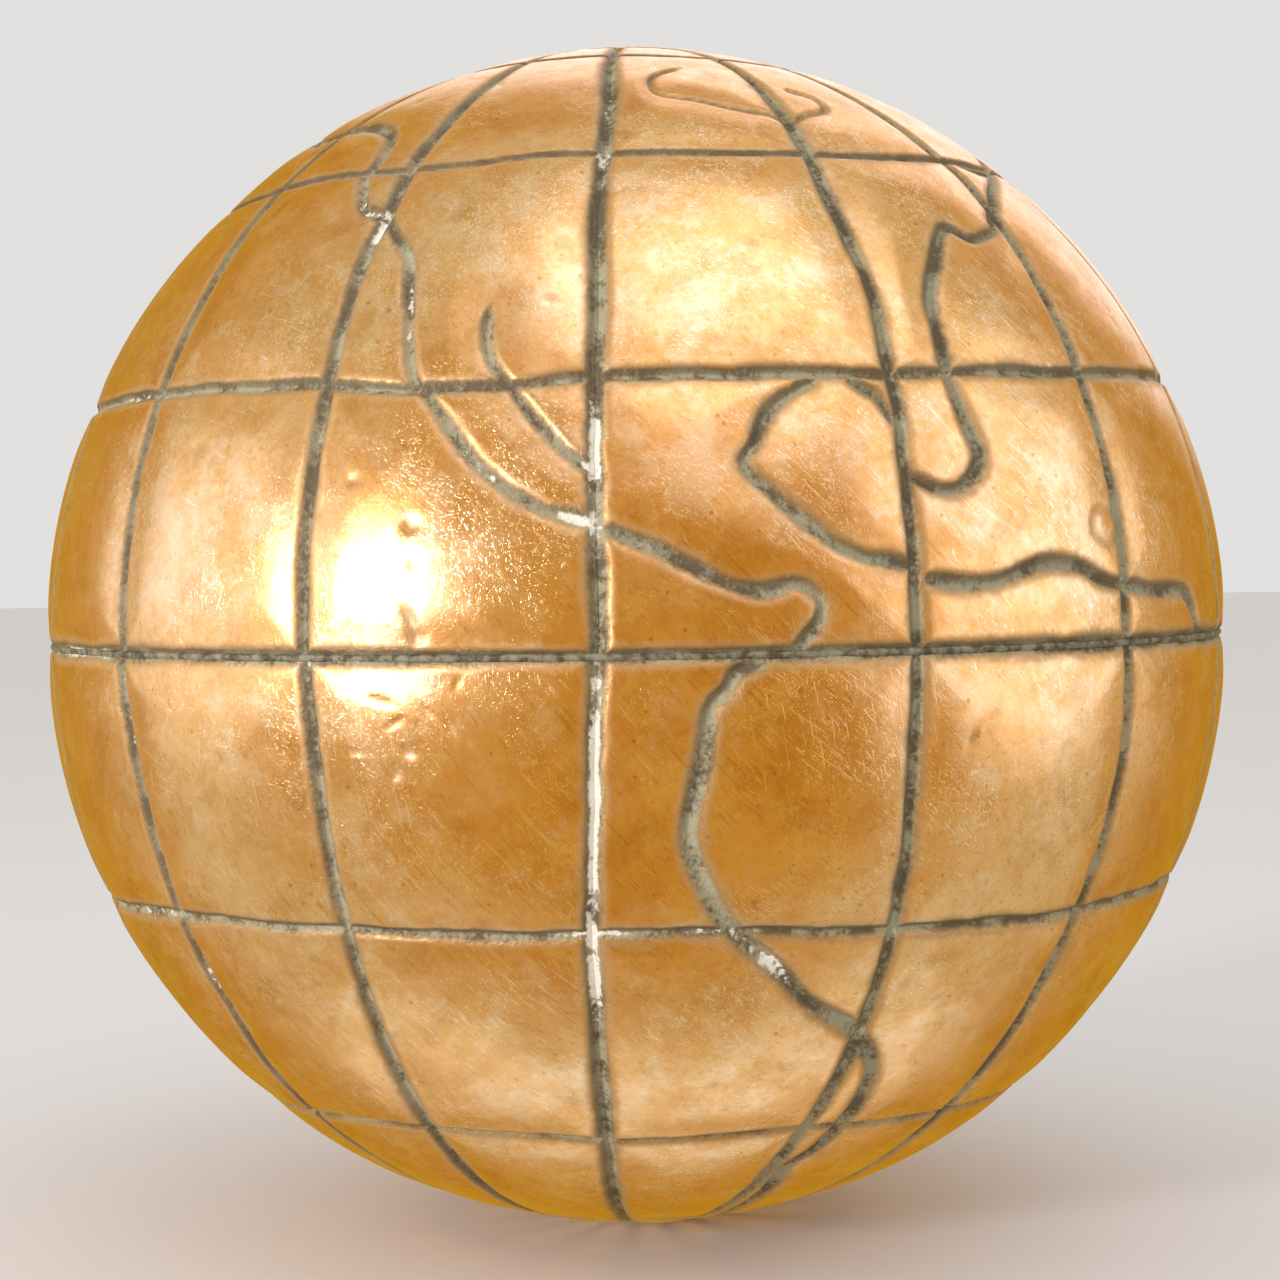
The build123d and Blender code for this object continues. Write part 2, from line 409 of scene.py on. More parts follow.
def smooth_route(route: Route, closed: bool, step: float) -> Grid:
    """Points along a smooth curve through a route on the ball.

    The curve is a uniform Catmull-Rom spline of the unit vectors, pushed back out to the
    unit ball, and then spaced evenly.

    Args:
        route: (latitude, longitude) points.
        closed: whether the last point joins the first.
        step: the spacing wanted, as a share of the ball's radius.
    Returns:
        Unit vectors along the curve.
    """
    knots = on_ball(*np.array(route, float).T)
    if closed:
        knots = np.concatenate([knots[-1:], knots, knots[:2]])
    else:
        knots = np.concatenate([2 * knots[:1] - knots[1:2], knots, 2 * knots[-1:] - knots[-2:-1]])
    a, b, c, d = knots[:-3, None], knots[1:-2, None], knots[2:-1, None], knots[3:, None]
    t = np.linspace(0, 1, 24, endpoint=False)[None, :, None]
    curve = 0.5 * (
        2 * b + (c - a) * t + (2 * a - 5 * b + 4 * c - d) * t**2 + (3 * b - a - 3 * c + d) * t**3
    )
    curve = np.concatenate([curve.reshape(-1, 3), knots[-2:-1]])
    curve /= np.linalg.norm(curve, axis=1, keepdims=True)
    reach = np.concatenate([[0], np.cumsum(np.linalg.norm(np.diff(curve, axis=0), axis=1))])
    at = np.linspace(0, reach[-1], max(3, int(reach[-1] / step) + 1))
    even = np.stack([np.interp(at, reach, curve[:, k]) for k in range(3)], axis=1)
    return even / np.linalg.norm(even, axis=1, keepdims=True)


# ---------------------------------------------------------------- putting grids into meshes


def ring_faces(rows: int, columns: int, wrap: bool) -> Grid:
    """Quads of a grid whose rows close on themselves, row after row and column after column.

    Args:
        rows: rows of points. The last row joins the first.
        columns: points in each row.
        wrap: whether the last column joins the first.
    Returns:
        One row of four point numbers for each quad.
    """
    r = np.arange(rows)[:, None]
    c = np.arange(columns if wrap else columns - 1)[None, :]
    after_r, after_c = (r + 1) % rows, (c + 1) % columns
    around = ((r, c), (r, after_c), (after_r, after_c), (after_r, c))
    corners = np.broadcast_arrays(*(row * columns + column for row, column in around))
    return np.stack([k.ravel() for k in corners], axis=1)


def mesh_from(name: str, points: Grid, quads: Grid,
              caps: tuple[Grid, ...] = ()) -> bpy.types.Object:
    """A smooth-shaded object at the origin, from points, quads and any many-sided caps.

    Args:
        name: the object's name.
        points: positions in metres, one to a row.
        quads: four point numbers to a row.
        caps: a loop of point numbers for each flat cap.
    Returns:
        The object, linked to the scene.
    """
    mesh = bpy.data.meshes.new(name)
    loops = np.concatenate([quads.ravel(), *caps]).astype(np.int32)
    sizes = np.concatenate([np.full(len(quads), 4), [len(c) for c in caps]]).astype(np.int32)
    mesh.vertices.add(len(points))
    mesh.vertices.foreach_set("co", points.astype(np.float32).ravel())
    mesh.loops.add(len(loops))
    mesh.loops.foreach_set("vertex_index", loops)
    mesh.polygons.add(len(sizes))
    starts = np.concatenate([[0], np.cumsum(sizes)[:-1]]).astype(np.int32)
    mesh.polygons.foreach_set("loop_start", starts)
    smooth = np.ones(len(sizes), bool)
    smooth[len(quads):] = False
    mesh.polygons.foreach_set("use_smooth", smooth)
    mesh.update(calc_edges=True)
    mesh.validate()
    thing = bpy.data.objects.new(name, mesh)
    bpy.context.scene.collection.objects.link(thing)
    return thing


def add_values(thing: bpy.types.Object, name: str, values: Grid) -> None:
    """Stores one number for each point of the mesh, under a name that materials read."""
    layer = thing.data.attributes.new(name, "FLOAT", "POINT")
    layer.data.foreach_set("value", values.astype(np.float32).ravel())


def finish_piece(thing: bpy.types.Object, finish: bpy.types.Material, node: str) -> None:
    """Dresses a piece, hides the CAD node that it stands for, and lets it ride.

    Args:
        thing: the piece.
        finish: its material.
        node: the CAD node that it stands for.
    """
    thing.data.materials.append(finish)
    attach(thing, BODY)
    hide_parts(node)
    LOG.info("%s: %d faces", thing.name, len(thing.data.polygons))


# ---------------------------------------------------------------- finishes


class Tree:
    """A node tree, with short ways to add what materials and the sky share."""

    def __init__(self, tree: bpy.types.NodeTree) -> None:
        """Takes over a tree and empties it."""
        self.tree = tree
        self.tree.nodes.clear()

    def feed(self, socket: Socket, value: Feed) -> None:
        """Sets a socket to a number or colour, or links another socket to it."""
        if isinstance(value, Socket):
            self.tree.links.new(value, socket)
        elif isinstance(value, tuple) and len(value) == 3 and socket.type == "RGBA":
            socket.default_value = (*value, 1.0)
        else:
            socket.default_value = value

    def node(self, kind: str, *feeds: Feed, **named: Feed) -> bpy.types.Node:
        """A new node, with its first inputs fed in order and the named ones by name."""
        node = self.tree.nodes.new(f"ShaderNode{kind}")
        for socket, value in zip(node.inputs, feeds):
            self.feed(socket, value)
        for name, value in named.items():
            self.feed(node.inputs[name], value)
        return node

    def math(self, kind: str, a: Feed, b: Feed = 0.0, c: Feed = 0.0, clamp: bool = False) -> Socket:
        """One sum of up to three numbers or sockets."""
        node = self.node("Math", a, b, c)
        node.operation = kind
        node.use_clamp = clamp
        return node.outputs[0]

    def times(self, a: Feed, b: Feed, clamp: bool = False) -> Socket:
        """a times b."""
        return self.math("MULTIPLY", a, b, clamp=clamp)

    def weigh(self, a: Feed, weight: Feed, b: Feed = 0.0, clamp: bool = False) -> Socket:
        """a times its weight, plus b."""
        return self.math("MULTIPLY_ADD", a, weight, b, clamp)

    def ramp(self, value: Feed, low: float, high: float, start: float = 0.0, end: float = 1.0) -> Socket:
        """Smooth step: start where value is low, end where it is high."""
        node = self.node("MapRange", value, low, high, start, end)
        node.interpolation_type = "SMOOTHSTEP"
        return node.outputs[0]

    def mix(self, share: Feed, a: Feed, b: Feed, kind: str = "MIX") -> Socket:
        """Colour a, going to colour b, or to b mixed in another way, as share goes from 0 to 1."""
        node = self.tree.nodes.new("ShaderNodeMix")
        node.data_type, node.blend_type = "RGBA", kind
        for socket, value in zip((node.inputs[0], node.inputs[6], node.inputs[7]), (share, a, b)):
            self.feed(socket, value)
        return node.outputs[2]


class Sheet(Tree):
    """A material's node tree, with the textures and reliefs that the finishes share."""

    def __init__(self, name: str) -> None:
        """Starts a material with a shader and an output."""
        self.material = bpy.data.materials.new(name)
        self.material.use_nodes = True
        super().__init__(self.material.node_tree)
        self.shader = self.node("BsdfPrincipled")
        self.node("OutputMaterial", self.shader.outputs[0])
        self.place = self.node("TexCoord").outputs["Object"]

    def noise(self, size_mm: float, detail: float = 4.0, rough: float = 0.55, twist: float = 0.0,
              place: Socket | None = None) -> Socket:
        """Cloud noise with lumps about this large, from 0 to 1."""
        return self.node("TexNoise", Vector=place or self.place, Scale=1.0 / (size_mm * MM),
                         Detail=detail, Roughness=rough, Distortion=twist).outputs[0]

    def cells(self, size_mm: float) -> Socket:
        """Distance to the nearest of scattered points about this far apart, in cell sizes."""
        node = self.node("TexVoronoi", Vector=self.place, Scale=1.0 / (size_mm * MM))
        return node.outputs["Distance"]

    def grain_along(self, turn: tuple[float, float, float], long_mm: float, fine_mm: float) -> Socket:
        """Noise drawn out along one direction in space, so that it crosses the ball as strokes.

        Args:
            turn: how the direction is turned from X, in degrees about X, Y and Z.
            long_mm: how long the strokes are.
            fine_mm: how thick they are.
        Returns:
            The noise, from 0 to 1.
        """
        node = self.tree.nodes.new("ShaderNodeMapping")
        node.vector_type = "TEXTURE"
        node.inputs["Rotation"].default_value = tuple(math.radians(a) for a in turn)
        node.inputs["Scale"].default_value = (long_mm / fine_mm, 1.0, 1.0)
        self.feed(node.inputs["Vector"], self.place)
        return self.noise(fine_mm, 2.0, 0.5, place=node.outputs[0])

    def value(self, name: str) -> Socket:
        """The mesh's own numbers stored under a name."""
        node = self.tree.nodes.new("ShaderNodeAttribute")
        node.attribute_name = name
        return node.outputs["Fac"]

    def bump(self, height: Socket, depth_mm: float, strength: float = 1.0,
             under: Socket | None = None) -> Socket:
        """Fine relief of this depth, on top of any relief under it."""
        node = self.node("Bump", Strength=strength, Distance=depth_mm * MM, Height=height)
        if under:
            self.feed(node.inputs["Normal"], under)
        return node.outputs[0]

    def finish(self, colour: Feed, metal: Feed, rough: Feed,
               normal: Socket | None = None) -> bpy.types.Material:
        """Feeds the shader and gives back the material."""
        self.feed(self.shader.inputs["Base Color"], colour)
        self.feed(self.shader.inputs["Metallic"], metal)
        self.feed(self.shader.inputs["Roughness"], rough)
        if normal:
            self.feed(self.shader.inputs["Normal"], normal)
        return self.material


@dataclass(frozen=True)
class WornCopper:
    """Hand-polished copper: brown tarnish, scratches, dull dirt and painted wall shade in the chased
    lines.

    Each way that scratches run is (turn in degrees about X, Y and Z, length, thickness)."""

    pale: Colour = (0.98, 0.82, 0.61)
    bright: Colour = (0.94, 0.66, 0.41)
    warm: Colour = (0.84, 0.47, 0.15)
    brown: Colour = (0.50, 0.22, 0.035)
    dirt: Colour = (0.38, 0.335, 0.20)
    # Dark dirt in the lines, and also the colour of the painted shade on their walls that face down and
    # east.
    dark_dirt_and_shade: Colour = (0.13, 0.095, 0.045)
    verdigris: Colour = (0.36, 0.40, 0.27)
    chalk: Colour = (0.86, 0.80, 0.66)
    scratch_ways: tuple[tuple[tuple[float, float, float], float, float], ...] = (
        ((12, 35, 20), 6.0, 0.17), ((-40, -28, 75), 5.0, 0.15), ((70, 15, -48), 4.0, 0.15),
        ((5, 78, 40), 5.5, 0.16), ((-10, 48, 8), 10.0, 0.22),
    )

    def tarnish(self, s: Sheet, edge: Socket, patches: Socket) -> Socket:
        """Brown film from 0 to 1: three scales of cloud noise, and more of it near the lines."""
        film = s.weigh(s.noise(9.0, 6, 0.62, 0.6), 0.7, s.times(s.noise(30.0, 3), 0.4))
        film = s.weigh(patches, 0.42, film)
        film = s.math("ADD", film, s.ramp(edge, 2.4, 0.1, 0.0, 0.12))
        return s.ramp(film, 0.61, 0.95, 0.1, 0.85)

    def wear(self, s: Sheet, scuff: Socket) -> tuple[Socket, Socket, Socket]:
        """Bright scratches, bright rubbed flecks and dark strokes, each from 0 to 1."""
        grains = [s.grain_along(*way) for way in self.scratch_ways]
        scratch = s.ramp(grains[0], 0.63, 0.70)
        for grain in grains[1:]:
            scratch = s.math("MAXIMUM", scratch, s.ramp(grain, 0.63, 0.70))
        worn = s.ramp(s.weigh(scuff, 0.16, s.noise(5.0, 4, 0.6)), 0.44, 0.62)
        scratch = s.times(scratch, s.weigh(worn, 0.7, 0.3))
        flecks = s.weigh(s.noise(2.6, 3, 0.5), 0.6, s.times(s.noise(0.7, 2, 0.5), 0.4))
        flecks = s.ramp(s.weigh(worn, 0.09, s.weigh(scuff, 0.10, flecks)), 0.50, 0.76)
        return scratch, flecks, s.times(s.ramp(grains[-1], 0.38, 0.30), 0.4)

    def open_metal(self, s: Sheet, tarnish: Socket) -> tuple[Socket, Socket]:
        """Colour of the metal between the lines, and the height of its scratches and flecks."""
        scratch, flecks, strokes = self.wear(s, s.value("scuff"))
        deep = s.weigh(s.noise(4.0, 7, 0.68, 0.8), 0.7, s.times(tarnish, 0.25))
        specks = s.ramp(s.weigh(s.noise(7.0, 3), 0.28, s.cells(1.6)), 0.25, 0.17)
        colour = s.mix(tarnish, self.bright, self.warm)
        colour = s.mix(s.ramp(deep, 0.42, 0.78, 0.0, 0.55), colour, self.brown)
        colour = s.mix(strokes, colour, self.brown)
        colour = s.mix(s.times(flecks, 0.38), colour, self.pale)
        colour = s.mix(s.times(scratch, 0.8), colour, self.pale)
        return s.mix(s.times(specks, 0.6), colour, self.brown), s.math("ADD", scratch, flecks)

    def grime_and_wall_shade(self, s: Sheet, edge: Socket, lee: Socket, thread: Socket) -> Socket:
        """Colour of what is packed in the lines: dirt, verdigris and dried polish, darkened by painted
        shade on the walls that face down and east.
        """
        lumps = s.weigh(s.noise(3.0, 4), 0.9, s.times(thread, 0.5))
        green = s.ramp(s.weigh(s.noise(6.0, 2), 0.5, s.noise(0.8, 5)), 0.80, 0.94)
        chalky = s.ramp(s.weigh(s.value("whiting"), 0.55, s.noise(0.6, 5, 0.6)), 0.72, 0.88)
        colour = s.mix(s.ramp(lumps, 0.60, 0.78), self.dark_dirt_and_shade, self.dirt)
        colour = s.mix(s.times(green, 0.5), colour, self.verdigris)
        # Painted shade: the walls that face down and east go to the dark colour.
        colour = s.mix(s.times(lee, 0.7, clamp=True), colour, self.dark_dirt_and_shade)
        return s.mix(s.times(chalky, s.ramp(edge, -0.24, -0.42)), colour, self.chalk)

    def make(self) -> bpy.types.Material:
        """Builds the material, which reads edge_mm, lee, whiting and scuff from the mesh."""
        s = Sheet("worn_copper")
        edge, lee = s.value("edge_mm"), s.value("lee")
        grit, thread = s.noise(0.5, 5, 0.65), s.noise(0.35, 4, 0.6)
        patches = s.noise(2.4, 6, 0.66, 0.5)
        tarnish = self.tarnish(s, edge, patches)
        colour, marks = self.open_metal(s, tarnish)

        ragged = s.weigh(grit, 0.5, s.math("ADD", edge, -0.25))
        packed = s.ramp(ragged, 0.06, -0.40)
        stained = s.ramp(s.weigh(s.noise(2.2, 4), 0.8, s.math("ADD", ragged, -0.4)), 0.60, -0.10)
        # Stain beside the lines, with painted shade: it darkens and spreads further on the walls that
        # face down and east.
        stain_and_wall_shade = s.mix(grit, self.brown, self.dirt)
        stain_and_wall_shade = s.mix(s.times(lee, 0.9, clamp=True), stain_and_wall_shade, self.dark_dirt_and_shade)
        colour = s.mix(s.times(stained, s.weigh(lee, 0.2, 0.75, clamp=True)), colour, stain_and_wall_shade)
        colour = s.mix(packed, colour, self.grime_and_wall_shade(s, ragged, lee, thread))

        rough = s.weigh(tarnish, 0.08, s.weigh(patches, 0.12, 0.13))
        rough = s.weigh(s.math("MAXIMUM", packed, s.times(stained, 0.6)), 0.4, rough)
        metal = s.weigh(s.math("MAXIMUM", packed, s.times(stained, 0.35)), -0.95, 0.95)
        relief = s.bump(marks, 0.006, 0.8, s.bump(patches, 0.03, 0.6))
        relief = s.bump(s.times(thread, packed), 0.2, 0.8, relief)
        return s.finish(colour, metal, rough, relief)


@dataclass(frozen=True)
class TurnedBrass:
    """Brass off the lathe: fine rings about the polar axis, dulled with handling."""

    bright: Colour = (0.80, 0.58, 0.26)
    dull: Colour = (0.42, 0.26, 0.09)

    def make(self) -> bpy.types.Material:
        """Builds the material. Its tool rings are noise of the distance from the polar axis."""
        s = Sheet("turned_brass")
        x, y, _ = s.node("SeparateXYZ", s.place).outputs
        reach = s.math("SQRT", s.weigh(x, x, s.times(y, y)))
        rings = s.noise(0.09, 2, 0.5, place=s.node("CombineXYZ", reach).outputs[0])
        film = s.ramp(s.noise(2.2, 6, 0.62), 0.42, 0.68)
        colour = s.mix(film, self.bright, self.dull)
        rough = s.weigh(film, 0.18, s.weigh(rings, 0.12, 0.2))
        relief = s.bump(rings, 0.012, 0.6)
        return s.finish(colour, 1.0, rough, relief)


@dataclass(frozen=True)
class DullMetal:
    """Metal that polish never reaches: a flat film with lumps, for solder and for the strap."""

    name: str
    light: Colour
    dark: Colour
    metal: float
    rough: float
    lump_mm: float

    def make(self) -> bpy.types.Material:
        """Builds the material from two scales of cloud noise."""
        s = Sheet(self.name)
        lumps = s.noise(self.lump_mm, 6, 0.65)
        colour = s.mix(s.ramp(lumps, 0.38, 0.62), self.dark, self.light)
        rough = s.weigh(s.noise(self.lump_mm * 3, 3), 0.2, self.rough)
        relief = s.bump(lumps, 0.08, 0.8)
        return s.finish(colour, self.metal, rough, relief)


@dataclass(frozen=True)
class PaleFloor:
    """The plain pale surface that the ball rests on."""

    colour: Colour = (0.80, 0.79, 0.775)

    def make(self) -> bpy.types.Material:
        """Builds a matt material with a faint tooth."""
        s = Sheet("pale_floor")
        tooth = s.noise(1.2, 3)
        return s.finish(self.colour, 0.0, 0.85, s.bump(tooth, 0.05, 0.2))


# ---------------------------------------------------------------- the shells


@dataclass(frozen=True)
class Layout:
    """Where the rows and columns of a shell's grid lie, in degrees.

    Columns crowd round each meridian and rows round each parallel, so that the lips of the
    chased lines fall on edges of the mesh."""

    crowd_mm: tuple[float, ...] = (0.0, 0.16, 0.31, 0.44, 0.56, 0.69, 0.86, 1.1)
    open_mm: float = 0.245
    polar_open_mm: float = 0.34
    polar_from: float = 58.0

    def between(self, lines: list[float], mm_per_degree: float, open_mm: float) -> Grid:
        """Places from the first line to the last, crowded at each, evenly spread between.

        Args:
            lines: the lines' places in degrees, rising.
            mm_per_degree: how long a degree is.
            open_mm: the spacing away from lines.
        Returns:
            The places, rising.
        """
        crowd = np.array(self.crowd_mm) / mm_per_degree
        parts = []
        for low, high in zip(lines[:-1], lines[1:]):
            count = max(2, round(((high - low) - 2 * crowd[-1]) * mm_per_degree / open_mm))
            middle = np.linspace(low + crowd[-1], high - crowd[-1], count + 1)
            parts += [low + crowd[:-1], middle, (high - crowd[:-1])[::-1]]
        return np.unique(np.round(np.concatenate(parts), 6))


@dataclass
class HalfShell:
    """One spun half of the ball, with every chased line, dent and swell in its outside.

    The shell's grid is rows of latitude by columns of longitude. Its outside is a ball whose
    radius falls by the depth of the nearest line, by a shallow sink round each line where the
    punch drew the metal down, by the dents, and by a slow swell left from raising it. The
    prime meridian and the seam are struck wider by their shares, and every dent is struck
    deeper by knock_share. Coasts are struck a stroke_mm at a time, out to window_mm."""

    half: Half
    radius_mm: float
    wall_mm: float
    hole_mm: float
    layout: Layout = field(default_factory=Layout)
    meridian_width_mm: float = 1.25
    meridian_depth_mm: float = 0.46
    parallel_width_mm: float = 1.0
    parallel_depth_mm: float = 0.34
    polar_width_mm: float = 0.75
    sink_mm: float = 0.13
    sink_reach_mm: float = 1.7
    pillow_mm: float = 0.11
    pillow_reach_mm: float = 4.4
    swell_mm: float = 0.05
    planish_mm: float = 0.006
    knock_share: float = 1.5
    prime_share: float = 1.12
    seam_share: float = 1.2
    stroke_mm: float = 0.5
    window_mm: float = 4.2
    inner_rows: int = 8
    gores: tuple[float, ...] = (-98.0, -3.6, 95.5, 191.5, 262.0)

    def latitudes(self) -> Grid:
        """Rows of the outside, from the seam to the pole hole, as positive degrees."""
        mm_per_degree = math.radians(self.radius_mm)
        sign = self.half.value
        edge = math.degrees(math.acos(self.hole_mm / self.radius_mm))
        lines = sorted(abs(v) for v in PARALLELS if v * sign >= 0)
        low = self.layout.between(lines[:3], mm_per_degree, self.layout.open_mm)
        high = self.layout.between(lines[2:], mm_per_degree, self.layout.polar_open_mm)
        cap = np.arange(high[-1], edge, self.layout.polar_open_mm / mm_per_degree)
        crowd = lines[-1] + np.array(self.layout.crowd_mm) / mm_per_degree
        cap = cap[cap > crowd[-1] + 0.1]
        return np.unique(np.round(np.concatenate([low, high, crowd, cap, [edge]]), 6))

    def longitudes(self) -> Grid:
        """Columns once round the ball, from the first gore's edge back to it."""
        lines = sorted(v if v >= self.gores[0] else v + 360 for v in MERIDIANS)
        lines = [self.gores[0]] + [v for v in lines if v < self.gores[-1] - 1] + [self.gores[-1]]
        return self.layout.between(lines, math.radians(self.radius_mm), self.layout.open_mm)

    def around(self, u: Grid) -> Grid:
        """Degrees east of the first gore's edge, from 0 up to 360."""
        return (u - self.gores[0]) % 360

    def bend_columns(self, u: Grid, v: Grid) -> Grid:
        """True longitude of each grid point.

        A column on a meridian follows its route and its own stray. A column between two
        meridians goes linearly from one's shift to the other's.

        Args:
            u: nominal longitudes of the columns.
            v: nominal signed latitudes of the rows.
        Returns:
            Longitudes, rows by columns.
        """
        keys, shifts, along = [], [], v + 200
        for number, (nominal, route) in enumerate(MERIDIANS.items()):
            stray = unsteady(along, number, (0.13, 5.5, 40), (0.06, 1.8, 80))
            if route:
                at, lon = np.array(route, float).T
                shift = np.interp(v, at, lon) - nominal
            else:
                shift = unsteady(along, number, (0.9, 23.0, 120), (0.3, 9.0, 160))
            keys.append(nominal)
            shifts.append(shift + stray)
        keys = np.array(keys)
        order = np.argsort(keys)
        keys, shifts = keys[order], np.array(shifts)[order]
        keys = np.concatenate([keys[-1:] - 360, keys, keys[:1] + 360])
        shifts = np.concatenate([shifts[-1:], shifts, shifts[:1]])
        turn = self.around(u) + self.gores[0]
        cell = np.clip(np.searchsorted(keys, turn, side="right") - 1, 0, len(keys) - 2)
        share = ((turn - keys[cell]) / (keys[cell + 1] - keys[cell]))[:, None]
        lon = u[None, :] + (shifts[cell] * (1 - share) + shifts[cell + 1] * share).T
        lon[:, -1] = lon[:, 0] + 360
        return lon

    def bend_rows(self, u: Grid, v: Grid) -> Grid:
        """True latitude of each grid point, bent to the parallels as columns are to meridians.

        Beyond a parallel's route, it strays from its nominal latitude by a seeded draw.

        Args:
            u: nominal longitudes of the columns.
            v: nominal signed latitudes of the rows.
        Returns:
            Latitudes, rows by columns. The seam and the pole hole stay level.
        """
        sign = self.half.value
        turn = self.around(u) + self.gores[0]
        lines, bends = [0.0], [np.zeros_like(u)]
        for number, nominal in enumerate(sorted((p for p in PARALLELS if p * sign > 0), key=abs)):
            at, lat = np.array(PARALLELS[nominal], float).T
            rest = np.random.default_rng(7 + number).uniform(-0.5, 0.5, 3)
            at = np.concatenate([[-135, -110], at, [100, 130, 225]])
            lat = np.concatenate([nominal + rest[:2], lat, nominal + rest[::-1]])
            stray = unsteady(turn + 400, number, (0.12, 6.5, 240), (0.05, 2.0, 280))
            lines.append(nominal)
            bends.append(np.interp(turn, at, lat, period=360) - nominal + stray)
        lines = np.abs(np.array([*lines, sign * 90.0]))
        bends = np.array([*bends, np.zeros_like(u)])
        cell = np.clip(np.searchsorted(lines, np.abs(v), side="right") - 1, 0, len(lines) - 2)
        share = ((np.abs(v) - lines[cell]) / (lines[cell + 1] - lines[cell]))[:, None]
        lat = v[:, None] + bends[cell] * (1 - share) + bends[cell + 1] * share
        lat[0], lat[-1] = v[0], v[-1]
        return lat

    def strike(self, grids: tuple[Grid, Grid, Grid], away: Grid, half: Grid, deep: Grid) -> None:
        """Adds one grid line to the depth, edge and level grids, in place.

        Args:
            grids: depth, distance to the nearest lip, and the share of sheet not drawn down.
            away: millimetres from the line's middle.
            half: half its width.
            deep: its depth.
        """
        depth, edge, level = grids
        np.maximum(depth, deep * groove(away, half), out=depth)
        np.minimum(edge, away - half, out=edge)
        level *= 1 - bell(away, self.pillow_reach_mm)

    def lined(self, u: Grid, v: Grid, lat: Grid) -> tuple[Grid, Grid, Grid]:
        """Depth of the metal and distance to the nearest lip, from the grid lines alone.

        A point's distance from a meridian is its nominal longitude from the line's, times the
        length of a degree there, and from a parallel the same in latitude. Width and depth
        wander along each line, and meridians narrow towards the poles.

        Args:
            u: nominal longitudes.
            v: nominal latitudes.
            lat: true latitudes.
        Returns:
            Depth in millimetres, millimetres outside the nearest lip, negative inside, and a
            share from 0 to 1 of how far the sheet round the lines is drawn down: 1 less the
            product of 1 less a bell of each line's distance.
        """
        degree = math.radians(self.radius_mm)
        grids = np.zeros(lat.shape), np.full(lat.shape, 9.0), np.ones(lat.shape)
        along, around = v + 200, self.around(u)
        narrow = 1 - 0.42 * ease(52, 80, np.abs(v))
        for number, nominal in enumerate(MERIDIANS):
            away = np.abs((u - nominal + 180) % 360 - 180)[None, :] * degree * np.cos(np.radians(lat))
            share = narrow * (self.prime_share if nominal == PRIME else 1.0)
            wide = share * (1 + unsteady(along, number, (0.10, 2.1, 320), (0.08, 6.0, 360)))
            deep = share * (1 + unsteady(along, number, (0.14, 2.7, 400)))
            half = self.meridian_width_mm / 2 * wide[:, None]
            self.strike(grids, away, half, self.meridian_depth_mm * deep[:, None])
        for number, nominal in enumerate(PARALLELS):
            if nominal * self.half.value < 0:
                continue
            away = np.abs(v - nominal)[:, None] * degree
            width = self.parallel_width_mm if abs(nominal) < 40 else self.polar_width_mm
            width *= self.seam_share if nominal == 0 else 1.0
            wide = 1 + unsteady(around, number, (0.13, 2.4, 440), (0.10, 8.0, 480))
            deep = 1 + unsteady(around, number, (0.16, 3.1, 520))
            half = width / 2 * wide[None, :]
            self.strike(grids, away, half, self.parallel_depth_mm * deep[None, :])
        depth, edge, level = grids
        return depth, edge, 1 - level

    def chase(self, coast: Coast, seed: int, places: Grid, lon: Grid, lat: Grid,
              depth: Grid, edge: Grid) -> None:
        """Strikes one coastline into the depth and edge grids, in place.

        For each stroke along the smoothed route, the points in a window round it get their
        distance from the stroke's straight line, and so their depth, as across a grid line.

        Args:
            coast: the coastline.
            seed: what its unevenness starts from.
            places: unit vectors of the grid points.
            lon: true longitudes of the grid points.
            lat: true latitudes of the grid points.
            depth: millimetres of depth so far.
            edge: millimetres outside the nearest lip so far.
        """
        line = smooth_route(coast.route, coast.ends is Ends.CLOSED, self.stroke_mm / self.radius_mm)
        along = np.arange(len(line)) * self.stroke_mm
        side = np.cross(line, np.gradient(line, axis=0))
        side /= np.linalg.norm(side, axis=1, keepdims=True)
        stray = unsteady(along, seed, (0.10, 3.2, 0), (0.05, 1.3, 1))
        line = line + side * (stray / self.radius_mm)[:, None]
        half = coast.width_mm / 2 * (1 + unsteady(along, seed, (0.16, 2.2, 2), (0.10, 6.0, 3)))
        deep = coast.depth_mm * (1 + unsteady(along, seed, (0.18, 1.9, 4)))
        if coast.ends is Ends.OPEN:
            taper = np.clip(np.minimum(along, along[-1] - along) / 1.2 + 0.45, 0, 1)
            half, deep = half * taper, deep * taper
        row_lat, column_lon = lat.mean(axis=1), lon.mean(axis=0)
        tall = math.degrees(self.window_mm / self.radius_mm)
        for i in range(len(line) - 1):
            start, step = line[i], line[i + 1] - line[i]
            here = math.degrees(math.asin(np.clip(start[2], -1, 1)))
            rows = np.flatnonzero(np.abs(row_lat - here) < tall + 1.5)
            if not len(rows):
                continue
            where = math.degrees(math.atan2(start[0], -start[1]))
            shrink = max(0.08, math.cos(math.radians(min(86.0, abs(here) + tall))))
            east = np.abs((column_lon - where + 180) % 360 - 180)
            window = np.ix_(rows, np.flatnonzero(east < tall / shrink + 2.5))
            off = places[window] - start
            share = np.clip(off @ step / (step @ step), 0, 1)
            away = np.linalg.norm(off - share[..., None] * step, axis=-1) * self.radius_mm
            depth[window] = np.maximum(depth[window], deep[i] * groove(away, half[i]))
            edge[window] = np.minimum(edge[window], away - half[i] + coast.clean_mm)

